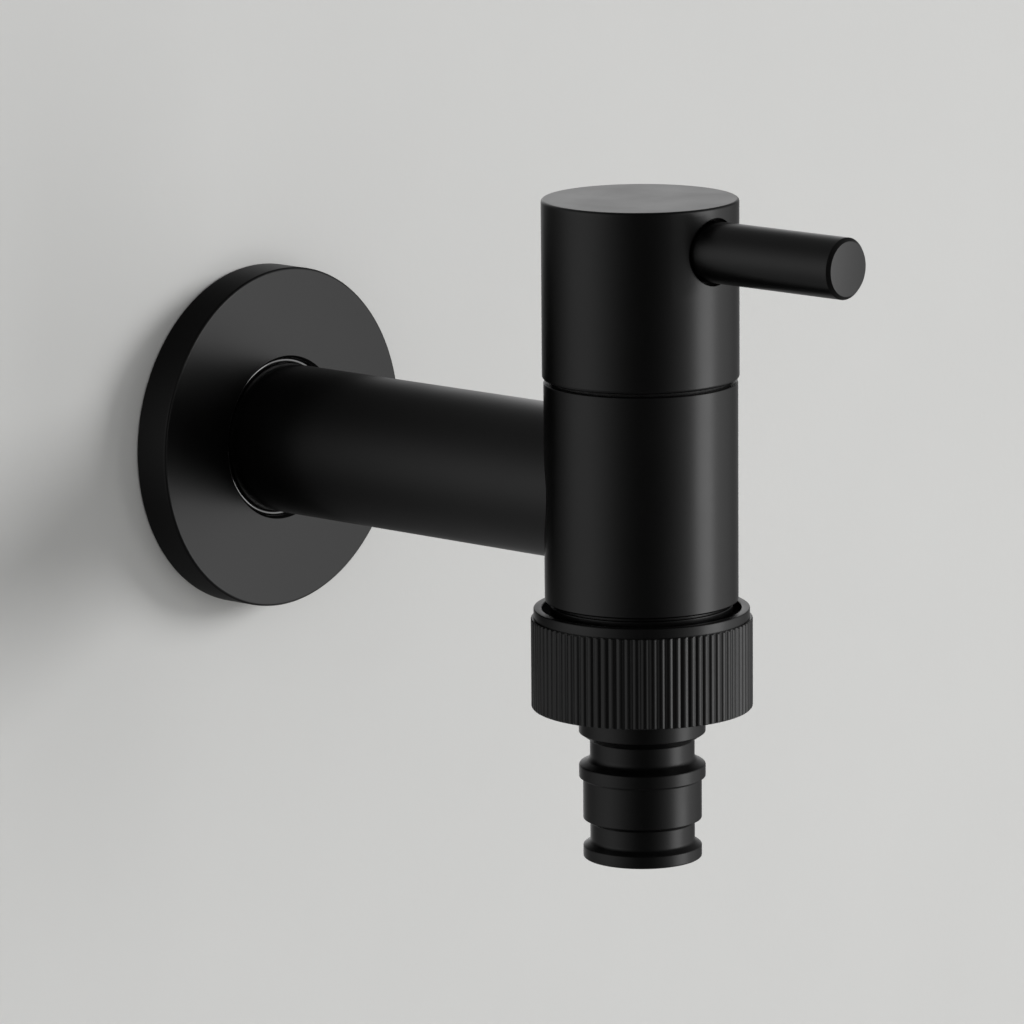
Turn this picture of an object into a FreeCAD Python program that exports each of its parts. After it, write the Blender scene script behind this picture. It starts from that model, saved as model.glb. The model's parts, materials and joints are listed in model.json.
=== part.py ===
import FreeCAD, Part
import os
import re
import Sketcher

# Wall-mounted quarter-turn tap with a hose union.
# Millimetres. The origin is where the inlet arm's axis meets the wall face.
# The arm runs along Y, the wall is at Y = 0, the tap stands out towards -Y, and +Z is up.
# Rest is the closed tap, with its lever pointing straight out from the wall.

SIZES = {
    # Inlet arm
    "arm_reach": 76.3,                # wall face to the barrel's axis
    "arm_width": 22.3,
    "waterway_width": 15.0,
    "spigot_width": 18.0,             # end of the arm that plugs into the barrel
    "spigot_start": 10.2,             # from the barrel's axis
    "inlet_thread_width": 20.955,     # half inch parallel pipe thread
    "inlet_thread_length": 15.0,      # behind the wall face
    "arm_shoulder_inset": 1.0,        # the thread starts this far in front of the wall
    "thread_lead": 0.9,               # chamfer at the thread's end
    # Wall rosette and its ring
    "rosette_width": 51.4,
    "rosette_depth": 5.8,
    "rosette_front": 1.6,             # thickness of the front wall
    "rosette_rim": 1.8,               # thickness of the rim
    "rosette_edge": 0.35,
    "rosette_collar_wall": 1.7,
    "rosette_collar_inset": 1.5,      # the collar stops this short of the wall
    "ring_section": 0.8,
    "ring_play": 0.04,
    "ring_inset": 0.9,                # the rosette's front face to the ring's middle
    # Barrel
    "barrel_width": 28.0,
    "barrel_rise": 16.5,              # arm axis up to the seam
    "barrel_drop": 15.55,             # arm axis down to the lower edge
    "barrel_edge": 0.3,
    "chamber_width": 18.7,
    "seat_drop": 8.7,                 # arm axis down to the seat shelf
    "seat_thickness": 2.5,
    "seat_hole_width": 9.6,
    "top_collar_width": 24.0,
    "top_collar_height": 2.0,
    "outlet_bore_width": 18.0,
    "outlet_thread_width": 26.441,    # three quarter inch parallel pipe thread
    "neck_length": 9.6,
    "neck_groove_width": 25.6,
    "neck_groove_height": 0.5,
    "joint_play": 0.03,               # round a fixed thread or spigot
    # Headwork: bonnet, seals and ceramic discs
    "headwork_thread_width": 20.955,  # half inch parallel pipe thread
    "headwork_thread_depth": 8.6,
    "headwork_thread_length": 8.0,
    "bonnet_gasket_thickness": 0.6,
    "flange_width": 23.8,
    "flange_thickness": 1.6,
    "hex_across_flats": 17.0,
    "hex_height": 5.0,
    "bonnet_neck_width": 12.4,
    "bonnet_neck_height": 2.4,
    "sleeve_width": 15.6,
    "sleeve_bore_width": 14.0,
    "window_span": 84.0,
    "window_height": 6.4,
    "seal_height": 3.0,
    "seal_proud": 1.0,                # the seal stands out of the sleeve, onto the shelf
    "seal_bore_width": 9.2,
    "support_ring_wall": 0.6,
    "support_ring_height": 2.4,
    "disc_thickness": 2.9,
    "disc_play": 0.1,                 # between a disc and the sleeve
    "disc_key_span": 22.0,
    "port_inner_width": 3.6,
    "port_outer_width": 11.2,
    "port_span": 72.0,
    "notch_span": 84.0,               # open sectors of the moving disc
    "drive_lug_span": 26.0,
    "drive_lug_inner_width": 6.4,
    "drive_lug_outer_width": 11.0,
    "drive_lug_height": 1.4,
    "drive_lug_play": 0.1,
    # Spindle and what rides on it
    "spindle_width": 8.0,
    "spindle_play": 0.05,
    "foot_thickness": 2.8,
    "thrust_washer_thickness": 1.4,
    "end_play": 0.05,
    "seal_groove_width": 5.9,
    "seal_groove_height": 1.3,
    "seal_ring_section": 0.96,
    "seal_groove_rise": 4.5,          # above the thrust shoulder
    "seal_groove_pitch": 4.0,
    "spline_count": 20,
    "spline_depth": 0.35,
    "spline_opening": 0.8,
    "spline_play": 0.05,
    "spindle_top_play": 0.4,
    "stop_ring_thickness": 1.4,
    "stop_lug_span": 30.0,
    "stop_lug_height": 1.4,
    "stop_lug_inner_width": 9.8,
    "stop_play_angle": 1.0,
    "quarter_turn": 90.0,
    "clip_thickness": 0.8,
    "clip_groove_width": 6.4,
    "clip_width": 11.0,
    "clip_opening": 60.0,
    # Handle
    "cap_width": 28.4,
    "cap_height": 26.0,
    "cap_edge": 0.35,
    "cap_lower_edge": 0.6,
    "cap_bore_width": 25.9,
    "cavity_depth": 13.85,
    "hub_depth": 9.5,
    "seam_gap": 0.5,
    "guide_ring_wall": 0.85,
    "guide_ring_height": 1.8,
    "guide_ring_play": 0.05,
    "lever_rise": 19.6,               # above the cap's lower edge
    "lever_width": 8.8,
    "lever_reach": 38.1,              # from the barrel's axis to the lever's end
    "lever_edge": 0.5,
    "recess_width": 9.6,
    "recess_floor": 11.6,             # from the barrel's axis
    "stud_width": 5.0,
    "stud_start": 7.8,                # from the barrel's axis
    "stud_length": 9.6,
    "stud_hole_spare": 0.8,
    "grub_length": 3.4,
    "grub_key_width": 2.5,
    "grub_key_depth": 1.6,
    # Hose union
    "nut_gap": 1.05,                  # below the barrel's lower edge
    "nut_height": 14.6,
    "nut_rim_width": 31.3,
    "nut_rim_height": 1.45,
    "nut_width": 32.1,
    "nut_mouth_width": "=(outlet_thread_width + nut_rim_width) / 2",
    "nut_mouth_depth": 1.9,
    "nut_floor": 2.4,
    "nut_thread_play": 0.09,
    "nut_hole_play": 0.1,
    "rib_count": 86,
    "rib_groove_opening": 0.8,
    "rib_groove_depth": 0.18,
    "gasket_thickness": 2.0,
    "gasket_width": 23.6,
    "gasket_bore_width": 14.0,
    "nipple_flange_width": 24.0,
    "nipple_bore_width": 11.5,
    "nipple_collar_width": 18.4,
    "nipple_collar_length": 4.1,      # below the nut
    "nipple_collar_taper": 0.35,
    "nipple_neck_width": 15.2,
    "nipple_neck_length": 3.25,
    "latch_width": 18.4,
    "latch_taper": 1.2,
    "latch_length": 1.85,
    "nose_width": 17.25,
    "nose_length": 6.15,
    "nose_taper": 0.35,
    "nose_neck_length": 2.65,
    "tip_taper": 1.05,
    "tip_length": 1.75,
    "tip_edge": 0.25,
}

# Levels above the arm's axis, as formulas of the sizes
SEAT = "(-seat_drop)"
SLEEVE_END = "(-seat_drop + seal_proud)"
FIXED_DISC = "(-seat_drop + seal_height)"
MOVING_DISC = f"({FIXED_DISC} + disc_thickness)"
SPINDLE_FOOT = f"({MOVING_DISC} + disc_thickness)"
THRUST_WASHER = f"({SPINDLE_FOOT} + foot_thickness + end_play)"
THRUST_SHOULDER = f"({THRUST_WASHER} + thrust_washer_thickness + end_play)"
SEAL_GROOVE = f"({THRUST_SHOULDER} + seal_groove_rise)"
BARREL_TOP = "(barrel_rise + top_collar_height)"
FLANGE = f"({BARREL_TOP} + bonnet_gasket_thickness)"
HEX = f"({FLANGE} + flange_thickness)"
BONNET_NECK = f"({HEX} + hex_height)"
BONNET_TOP = f"({BONNET_NECK} + bonnet_neck_height)"
STOP_RING = f"({BONNET_TOP} + end_play)"
CLIP = f"({STOP_RING} + stop_ring_thickness + end_play)"
CAP_FOOT = "(barrel_rise + seam_gap)"
CAVITY_TOP = f"({CAP_FOOT} + cavity_depth)"
HUB_TOP = f"({CAVITY_TOP} + hub_depth)"
CAP_TOP = f"({CAP_FOOT} + cap_height)"
LEVER_AXIS = f"({CAP_FOOT} + lever_rise)"
NECK_END = "(-barrel_drop - neck_length)"
GASKET = f"({NECK_END} - gasket_thickness)"
NUT_TOP = "(-barrel_drop - nut_gap)"
NUT_FOOT = f"({NUT_TOP} - nut_height)"
NUT_RIM = f"({NUT_TOP} - nut_rim_height)"

# Widths that more than one piece shares
ROSETTE_HOLE = "(arm_width + ring_section * 2 + ring_play * 4)"
DISC_WIDTH = "(sleeve_bore_width - disc_play * 2)"
SPINDLE_BORE = "(spindle_width + spindle_play * 2)"
TAPPED_HOLE = "(stud_width + joint_play * 2)"

X_AXIS = FreeCAD.Vector(1, 0, 0)
V_AXIS = FreeCAD.Vector(0, 1, 0)
ACROSS_NORMAL = "XZ_Plane"
FLAT = "XY_Plane"

doc = FreeCAD.newDocument("wall_tap")
dims = doc.addObject("Spreadsheet::Sheet", "dims")


def fill_sheet():
    """Put every driving dimension in the sheet under its own alias, as a number or a formula."""
    for row, (name, value) in enumerate(SIZES.items(), start=1):
        dims.set(f"A{row}", name.replace("_", " "))
        dims.set(f"B{row}", str(value))
        dims.setAlias(f"B{row}", name)
    doc.recompute()


def bound(formula):
    """The formula as other objects read it, with each size taken from the sheet."""
    return re.sub(r"[a-z_]+", lambda word: f"dims.{word[0]}" if word[0] in SIZES else word[0], formula)


def measure(formula):
    """The formula's value now."""
    return float(dims.evalExpression(formula))


def place(piece, y="-arm_reach", z="0"):
    """Bind where a piece stands. Most stand on the barrel's axis, at the arm's level."""
    piece.setExpression("Placement.Base.y", bound(y))
    piece.setExpression("Placement.Base.z", bound(z))


def new_body(name):
    body = doc.addObject("PartDesign::Body", name)
    body.Label = name
    place(body)
    return body


def origin_feature(body, role):
    return next(feature for feature in body.Origin.OriginFeatures if feature.Role == role)


def new_sketch(body, name, role, offset=None, turn=None):
    """A sketch on one of the body's planes, moved along its normal or turned about its V axis."""
    sketch = body.newObject("Sketcher::SketchObject", f"{body.Name}_{name}_sketch")
    sketch.AttachmentSupport = [(origin_feature(body, role), "")]
    sketch.MapMode = "FlatFace"
    if offset:
        sketch.setExpression("AttachmentOffset.Base.z", bound(offset))
    if turn:
        turned = FreeCAD.Rotation(V_AXIS, measure(turn))
        sketch.AttachmentOffset = FreeCAD.Placement(FreeCAD.Vector(), turned)
        sketch.setExpression("AttachmentOffset.Rotation.Angle", bound(turn))
    sketch.Visibility = False
    return sketch


def bind_point(sketch, item, point, corner):
    """Tie a point of the sketch to a pair of formulas, measured from the origin."""
    for kind, axis, formula in zip(("DistanceX", "DistanceY"), (-2, -1), corner):
        if formula == "0":
            sketch.addConstraint(Sketcher.Constraint("PointOnObject", item, point, axis))
        else:
            value = measure(formula)
            number = sketch.addConstraint(Sketcher.Constraint(kind, -1, 1, item, point, value))
            sketch.setExpression(f"Constraints[{number}]", bound(formula))


def draw_outline(sketch, corners):
    """A closed outline through corners, each an (across, along) pair of formulas."""
    first = sketch.GeometryCount
    count = len(corners)
    points = [FreeCAD.Vector(measure(across), measure(along), 0) for across, along in corners]
    for index, point in enumerate(points):
        sketch.addGeometry(Part.LineSegment(point, points[(index + 1) % count]), False)
    for index in range(count):
        following = first + (index + 1) % count
        sketch.addConstraint(Sketcher.Constraint("Coincident", first + index, 2, following, 1))
    for index, corner in enumerate(corners):
        bind_point(sketch, first + index, 1, corner)


def draw_circle(sketch, width, along="0"):
    """A circle of the given width, centred on the V axis."""
    item = sketch.GeometryCount
    centre = FreeCAD.Vector(0, measure(along), 0)
    sketch.addGeometry(Part.Circle(centre, FreeCAD.Vector(0, 0, 1), measure(width) / 2), False)
    bind_point(sketch, item, 3, ("0", along))
    number = sketch.addConstraint(Sketcher.Constraint("Diameter", item, measure(width)))
    sketch.setExpression(f"Constraints[{number}]", bound(width))


def turn_profile(body, name, corners, role=ACROSS_NORMAL, kind="Revolution", span=None, turn=None):
    """Revolve (width, level) corners about the body's axis, or groove them out of it."""
    sketch = new_sketch(body, name, role, turn=turn)
    draw_outline(sketch, [(f"({width}) / 2" if width != "0" else width, level) for width, level in corners])
    feature = body.newObject(f"PartDesign::{kind}", f"{body.Name}_{name}")
    feature.Profile = sketch
    feature.ReferenceAxis = (sketch, ["V_Axis"])
    feature.Angle = 360
    if span:
        feature.Midplane = True
        feature.setExpression("Angle", bound(span))
    return feature


def sector(body, name, widths, levels, span, kind="Groove", turn=None):
    """Cut or add a ring sector, centred on +X or turned from it."""
    (inner, outer), (bottom, top) = widths, levels
    corners = [(inner, bottom), (outer, bottom), (outer, top), (inner, top)]
    return turn_profile(body, name, corners, kind=kind, span=span, turn=turn)


def pair(body, feature):
    """Repeat a feature once, on the other side of the body's Z axis."""
    return repeat(body, feature, "2")


def repeat(body, feature, count):
    """Repeat a feature evenly round the body's Z axis."""
    pattern = body.newObject("PartDesign::PolarPattern", f"{feature.Name}_pattern")
    pattern.Originals = [feature]
    pattern.Axis = (origin_feature(body, "Z_Axis"), [""])
    pattern.Angle = 360
    pattern.setExpression("Occurrences", bound(count))
    body.Tip = pattern
    return pattern


def extrude(body, name, sketch, length=None, kind="Pad", forward=True, both=False):
    """Pad a sketch, or pocket it through all or to a length, along its normal unless told otherwise."""
    feature = body.newObject(f"PartDesign::{kind}", f"{body.Name}_{name}")
    feature.Profile = sketch
    feature.Reversed = forward == (kind == "Pocket")
    if length:
        feature.setExpression("Length", bound(length))
    else:
        feature.Type = "ThroughAll"
    if both:
        feature.SideType = "Symmetric"
    return feature


def wedge(body, name, apex, base, half_width, level, length, kind):
    """A triangular groove or tooth along Z on the +X side, from an apex radius to a base radius."""
    sketch = new_sketch(body, name, FLAT, offset=level)
    draw_outline(sketch, [(apex, "0"), (base, f"-({half_width})"), (base, half_width)])
    return extrude(body, name, sketch, length, kind=kind)


def spline_teeth(body, level, length):
    """Inner teeth that fit the spindle's spline."""
    tooth = wedge(
        body, "spline",
        "spindle_width / 2 - spline_depth + spline_play",
        f"{SPINDLE_BORE} / 2 + spline_play",
        "spline_opening / 2 - spline_play",
        level, length, "Pad")
    repeat(body, tooth, "spline_count")


def washer(name, bore, width, level, thickness):
    """A flat ring whose lower face is at the level."""
    body = new_body(name)
    top = f"{level} + {thickness}"
    turn_profile(body, "section", [(bore, level), (width, level), (width, top), (bore, top)])
    return body


def seal_section(width, section, middle):
    """Six corners of a round seal's section, centred on a ring of this width."""
    side, rise = f"{section} / 2", f"{section} / 2 * cos(30)"
    return [
        (f"{width} - {side}", f"{middle} - {rise}"),
        (f"{width} + {side}", f"{middle} - {rise}"),
        (f"{width} + {section}", middle),
        (f"{width} + {side}", f"{middle} + {rise}"),
        (f"{width} - {side}", f"{middle} + {rise}"),
        (f"{width} - {section}", middle),
    ]


def wall_rosette():
    """Round cover, hollow at the back, with a collar round its hole."""
    body = new_body("wall_rosette")
    front = "arm_reach - rosette_depth"
    floor = f"{front} + rosette_front"
    collar = f"{ROSETTE_HOLE} + rosette_collar_wall * 2"
    inside = "rosette_width - rosette_rim * 2"
    turn_profile(body, "section", [
        (ROSETTE_HOLE, front),
        ("rosette_width - rosette_edge * 2", front),
        ("rosette_width", f"{front} + rosette_edge"),
        ("rosette_width", "arm_reach"),
        (inside, "arm_reach"),
        (inside, floor),
        (collar, floor),
        (collar, "arm_reach - rosette_collar_inset"),
        (ROSETTE_HOLE, "arm_reach - rosette_collar_inset"),
    ], role=FLAT)
    return body


def rosette_o_ring():
    """Rubber ring that fills the gap between the arm and the rosette's hole."""
    body = new_body("rosette_o_ring")
    width = "arm_width + ring_section + ring_play * 2"
    corners = seal_section(width, "ring_section", "arm_reach - rosette_depth + ring_inset")
    turn_profile(body, "section", corners, role=FLAT)
    return body


def inlet_arm():
    """Tube coped to the barrel, with a spigot into it and a threaded end behind the wall."""
    body = new_body("inlet_arm")
    shoulder = "arm_reach - arm_shoulder_inset"
    thread_end = "arm_reach + inlet_thread_length"
    turn_profile(body, "tube", [
        ("waterway_width", "0"),
        ("arm_width", "0"),
        ("arm_width", shoulder),
        ("inlet_thread_width", shoulder),
        ("inlet_thread_width", f"{thread_end} - thread_lead"),
        ("inlet_thread_width - thread_lead * 2", thread_end),
        ("waterway_width", thread_end),
    ], role=FLAT)
    saddle = new_sketch(body, "saddle", FLAT)
    draw_circle(saddle, "barrel_width")
    extrude(body, "saddle", saddle, kind="Pocket", both=True)
    turn_profile(body, "spigot", [
        ("waterway_width", "spigot_start"),
        ("spigot_width", "spigot_start"),
        ("spigot_width", "barrel_width"),
        ("waterway_width", "barrel_width"),
    ], role=FLAT)
    return body


def valve_barrel():
    """Turned barrel: chamber for the headwork, seat shelf, side port and threaded outlet neck."""
    body = new_body("valve_barrel")
    groove_foot = "-barrel_drop - neck_groove_height"
    thread_floor = f"{BARREL_TOP} - headwork_thread_depth"
    turn_profile(body, "section", [
        ("outlet_bore_width", NECK_END),
        ("outlet_thread_width", NECK_END),
        ("outlet_thread_width", groove_foot),
        ("neck_groove_width", groove_foot),
        ("neck_groove_width", "-barrel_drop"),
        ("barrel_width - barrel_edge * 2", "-barrel_drop"),
        ("barrel_width", "-barrel_drop + barrel_edge"),
        ("barrel_width", "barrel_rise"),
        ("top_collar_width", "barrel_rise"),
        ("top_collar_width", BARREL_TOP),
        ("headwork_thread_width", BARREL_TOP),
        ("headwork_thread_width", thread_floor),
        ("chamber_width", thread_floor),
        ("chamber_width", SEAT),
        ("seat_hole_width", SEAT),
        ("seat_hole_width", f"{SEAT} - seat_thickness"),
        ("outlet_bore_width", f"{SEAT} - seat_thickness"),
    ])
    port = new_sketch(body, "port", ACROSS_NORMAL)
    draw_circle(port, "spigot_width + joint_play * 2")
    extrude(body, "port", port, kind="Pocket", forward=False)
    return body


def skirt_guide_ring():
    """Plastic ring on the barrel's collar that centres the cap's skirt."""
    bore = "(top_collar_width + guide_ring_play * 2)"
    width = f"{bore} + guide_ring_wall * 2"
    return washer("skirt_guide_ring", bore, width, "barrel_rise", "guide_ring_height")


def bonnet_gasket():
    """Fibre washer under the bonnet's flange."""
    bore = "headwork_thread_width + joint_play * 2"
    return washer("bonnet_gasket", bore, "flange_width", BARREL_TOP, "bonnet_gasket_thickness")


def headwork_bonnet():
    """Threaded bonnet whose windowed sleeve holds the discs, with a stop notch at the top."""
    body = new_body("headwork_bonnet")
    thread_foot = f"{FLANGE} - headwork_thread_length"
    thread = "headwork_thread_width - joint_play * 2"
    turn_profile(body, "section", [
        ("sleeve_bore_width", SLEEVE_END),
        ("sleeve_width", SLEEVE_END),
        ("sleeve_width", thread_foot),
        (thread, thread_foot),
        (thread, FLANGE),
        ("flange_width", FLANGE),
        ("flange_width", HEX),
        ("bonnet_neck_width", HEX),
        ("bonnet_neck_width", BONNET_TOP),
        (SPINDLE_BORE, BONNET_TOP),
        (SPINDLE_BORE, THRUST_SHOULDER),
        ("sleeve_bore_width", THRUST_SHOULDER),
    ])
    hexagon = new_sketch(body, "hex", FLAT, offset=HEX)
    corner_radius = "hex_across_flats / 2 / cos(30)"
    draw_outline(hexagon, [(f"{corner_radius} * cos({angle})", f"{corner_radius} * sin({angle})")
                           for angle in range(30, 390, 60)])
    draw_circle(hexagon, f"(bonnet_neck_width + {SPINDLE_BORE}) / 2")
    extrude(body, "hex", hexagon, "hex_height")
    window = sector(
        body, "window", (DISC_WIDTH, "chamber_width"),
        (MOVING_DISC, f"{MOVING_DISC} + window_height"), "window_span", turn="90")
    pair(body, window)
    key_slot = sector(
        body, "key_slot", (DISC_WIDTH, "chamber_width"),
        (f"{SLEEVE_END} - seal_proud", MOVING_DISC), "disc_key_span + stop_play_angle * 2")
    pair(body, key_slot)
    sector(
        body, "stop_notch", ("stop_lug_inner_width - disc_play * 2", "bonnet_neck_width + disc_play"),
        (f"{BONNET_TOP} - stop_lug_height - disc_play", f"{BONNET_TOP} + disc_play"),
        "quarter_turn + stop_lug_span + stop_play_angle * 2", turn="quarter_turn / 2")
    return body


def seat_seal():
    """Rubber ring that presses the fixed disc up and seals on the barrel's shelf."""
    return washer("seat_seal", "seal_bore_width", DISC_WIDTH, SEAT, "seal_height")


def seal_support_ring():
    """Stiff liner inside the rubber seal."""
    width = "(seal_bore_width - ring_play * 2)"
    bore = f"{width} - support_ring_wall * 2"
    return washer("seal_support_ring", bore, width, SEAT, "support_ring_height")


def disc_blank(name, level):
    body = new_body(name)
    top = f"{level} + disc_thickness"
    turn_profile(body, "section", [("0", level), (DISC_WIDTH, level), (DISC_WIDTH, top), ("0", top)])
    return body


def fixed_disc():
    """Ceramic disc with two ports, keyed to the sleeve so that it can't turn."""
    body = disc_blank("fixed_disc", FIXED_DISC)
    levels = (FIXED_DISC, MOVING_DISC)
    key = sector(
        body, "key", (f"{DISC_WIDTH} - disc_play * 4", "sleeve_width"), levels, "disc_key_span",
        kind="Revolution")
    pair(body, key)
    port = sector(body, "port", ("port_inner_width", "port_outer_width"), levels, "port_span", turn="90")
    pair(body, port)
    return body


def moving_disc():
    """Ceramic disc with two open sectors, and slots for the spindle's lugs in its top."""
    body = disc_blank("moving_disc", MOVING_DISC)
    notch = sector(
        body, "notch", ("port_inner_width", "sleeve_width"), (MOVING_DISC, SPINDLE_FOOT), "notch_span")
    pair(body, notch)
    slot = sector(
        body, "slot",
        ("drive_lug_inner_width - drive_lug_play * 2", "drive_lug_outer_width + drive_lug_play * 2"),
        (f"{SPINDLE_FOOT} - drive_lug_height - drive_lug_play", SPINDLE_FOOT),
        "drive_lug_span + stop_play_angle * 2", turn="90")
    pair(body, slot)
    return body


def spindle():
    """Spindle with a notched foot and drive lugs below, two seal grooves, and a spline at its top."""
    body = new_body("spindle")
    foot_top = f"{SPINDLE_FOOT} + foot_thickness"
    top = f"({HUB_TOP} - spindle_top_play)"
    corners = [("0", SPINDLE_FOOT), (DISC_WIDTH, SPINDLE_FOOT), (DISC_WIDTH, foot_top),
               ("spindle_width", foot_top)]
    grooves = [
        ("seal_groove_width", SEAL_GROOVE, "seal_groove_height"),
        ("seal_groove_width", f"({SEAL_GROOVE} + seal_groove_pitch)", "seal_groove_height"),
        ("clip_groove_width", CLIP, "clip_thickness + end_play * 2"),
    ]
    for width, level, height in grooves:
        corners += [("spindle_width", level), (width, level),
                    (width, f"{level} + {height}"), ("spindle_width", f"{level} + {height}")]
    corners += [("spindle_width", f"{top} - spline_depth"), ("spindle_width - spline_depth * 2", top),
                ("0", top)]
    turn_profile(body, "section", corners)
    notch = sector(
        body, "notch", ("spindle_width", "sleeve_width"),
        (SPINDLE_FOOT, foot_top), "notch_span")
    pair(body, notch)
    lug = sector(
        body, "lug", ("drive_lug_inner_width", "drive_lug_outer_width"),
        (f"{SPINDLE_FOOT} - drive_lug_height", foot_top), "drive_lug_span", kind="Revolution", turn="90")
    pair(body, lug)
    groove = wedge(
        body, "spline", "spindle_width / 2 - spline_depth", "spindle_width / 2 + spline_depth",
        "spline_opening", BONNET_TOP, f"{top} - {BONNET_TOP}", "Pocket")
    repeat(body, groove, "spline_count")
    return body


def spindle_o_ring(name, level):
    """Rubber ring in one of the spindle's grooves."""
    body = new_body(name)
    width = "(seal_groove_width + seal_ring_section + ring_play * 2)"
    middle = f"({level} + seal_groove_height / 2)"
    turn_profile(body, "section", seal_section(width, "seal_ring_section", middle))
    return body


def thrust_washer():
    """Low-friction washer between the spindle's foot and the bonnet."""
    bore = "spindle_width + spindle_play * 4"
    return washer("thrust_washer", bore, DISC_WIDTH, THRUST_WASHER, "thrust_washer_thickness")


def stop_ring():
    """Ring splined to the spindle, whose lug runs in the bonnet's notch and limits the turn."""
    body = new_body("stop_ring")
    top = f"{STOP_RING} + stop_ring_thickness"
    corners = [(SPINDLE_BORE, STOP_RING), ("bonnet_neck_width", STOP_RING), ("bonnet_neck_width", top),
               (SPINDLE_BORE, top)]
    turn_profile(body, "section", corners)
    sector(
        body, "lug", ("stop_lug_inner_width", "bonnet_neck_width"),
        (f"{BONNET_TOP} - stop_lug_height", top), "stop_lug_span", kind="Revolution")
    spline_teeth(body, STOP_RING, "stop_ring_thickness")
    return body


def spindle_clip():
    """Open spring clip in the spindle's upper groove."""
    body = new_body("spindle_clip")
    foot = f"({CLIP} + end_play)"
    sector(
        body, "section", ("clip_groove_width + spindle_play * 2", "clip_width"),
        (foot, f"{foot} + clip_thickness"), "360 - clip_opening", kind="Revolution")
    return body


def handle_cap():
    """Cap with a thin skirt over the headwork, a splined hub and a recess for the lever."""
    body = new_body("handle_cap")
    turn_profile(body, "section", [
        ("cap_bore_width", CAP_FOOT),
        ("cap_width - cap_lower_edge * 2", CAP_FOOT),
        ("cap_width", f"{CAP_FOOT} + cap_lower_edge"),
        ("cap_width", f"{CAP_TOP} - cap_edge"),
        ("cap_width - cap_edge * 2", CAP_TOP),
        ("0", CAP_TOP),
        ("0", HUB_TOP),
        (SPINDLE_BORE, HUB_TOP),
        (SPINDLE_BORE, CAVITY_TOP),
        ("cap_bore_width", CAVITY_TOP),
    ])
    spline_teeth(body, CAVITY_TOP, "hub_depth")
    recess = new_sketch(body, "recess", ACROSS_NORMAL, offset="recess_floor")
    draw_circle(recess, "recess_width", LEVER_AXIS)
    extrude(body, "recess", recess, kind="Pocket")
    hole = new_sketch(body, "stud_hole", ACROSS_NORMAL)
    draw_circle(hole, TAPPED_HOLE, LEVER_AXIS)
    extrude(body, "stud_hole", hole, kind="Pocket")
    return body


def handle_lever():
    """Round lever, bored for the stud that holds it."""
    body = new_body("handle_lever")
    hole_end = "-stud_start - stud_length - stud_hole_spare"
    turn_profile(body, "section", [
        ("0", "-lever_reach"),
        ("lever_width - lever_edge * 2", "-lever_reach"),
        ("lever_width", "-lever_reach + lever_edge"),
        ("lever_width", "-recess_floor"),
        (TAPPED_HOLE, "-recess_floor"),
        (TAPPED_HOLE, hole_end),
        ("0", hole_end),
    ], role=FLAT)
    place(body, z=LEVER_AXIS)
    return body


def cross_rod(name, width, start, length):
    """A plain rod on the lever's axis that points away from the wall."""
    rod = doc.addObject("Part::Cylinder", name)
    rod.setExpression("Radius", bound(f"{width} / 2"))
    rod.setExpression("Height", bound(length))
    rod.Placement = FreeCAD.Placement(FreeCAD.Vector(), FreeCAD.Rotation(X_AXIS, 90))
    place(rod, f"-arm_reach - ({start})", LEVER_AXIS)
    return rod


def lever_stud():
    """Threaded stud that joins the lever to the cap."""
    return cross_rod("lever_stud", "stud_width", "stud_start", "stud_length")


def handle_grub_screw():
    """Socket grub screw behind the stud, which clamps the hub to the spindle."""
    start = f"{SPINDLE_BORE} / 2"
    rod = cross_rod("grub_blank", "stud_width", start, "grub_length")
    key = doc.addObject("Part::Prism", "grub_key")
    key.Polygon = 6
    key.setExpression("Circumradius", bound("grub_key_width / 2 / cos(30)"))
    key.setExpression("Height", bound("grub_key_depth"))
    key.Placement = rod.Placement
    place(key, f"-arm_reach - ({start}) - grub_length + grub_key_depth", LEVER_AXIS)
    screw = doc.addObject("Part::Cut", "handle_grub_screw")
    screw.Label = "handle_grub_screw"
    screw.Base = rod
    screw.Tool = key
    return screw


def union_nut():
    """Nut with a plain top rim, straight ribs, a threaded bore and a floor that carries the nipple."""
    body = new_body("union_nut")
    hole = "nipple_collar_width + nut_hole_play * 2"
    thread = "outlet_thread_width + nut_thread_play * 2"
    mouth_floor = f"{NUT_TOP} - nut_mouth_depth"
    turn_profile(body, "section", [
        (hole, NUT_FOOT),
        ("nut_width", NUT_FOOT),
        ("nut_width", NUT_RIM),
        ("nut_rim_width", NUT_RIM),
        ("nut_rim_width", NUT_TOP),
        ("nut_mouth_width", NUT_TOP),
        ("nut_mouth_width", mouth_floor),
        (thread, mouth_floor),
        (thread, f"{NUT_FOOT} + nut_floor"),
        (hole, f"{NUT_FOOT} + nut_floor"),
    ])
    groove = wedge(
        body, "rib_groove", "nut_width / 2 - rib_groove_depth", "nut_width / 2 + rib_groove_depth",
        "rib_groove_opening", NUT_FOOT, "nut_height - nut_rim_height", "Pocket")
    repeat(body, groove, "rib_count")
    return body


def union_gasket():
    """Flat rubber washer between the barrel's neck and the nipple."""
    return washer("union_gasket", "gasket_bore_width", "gasket_width", GASKET, "gasket_thickness")


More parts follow.
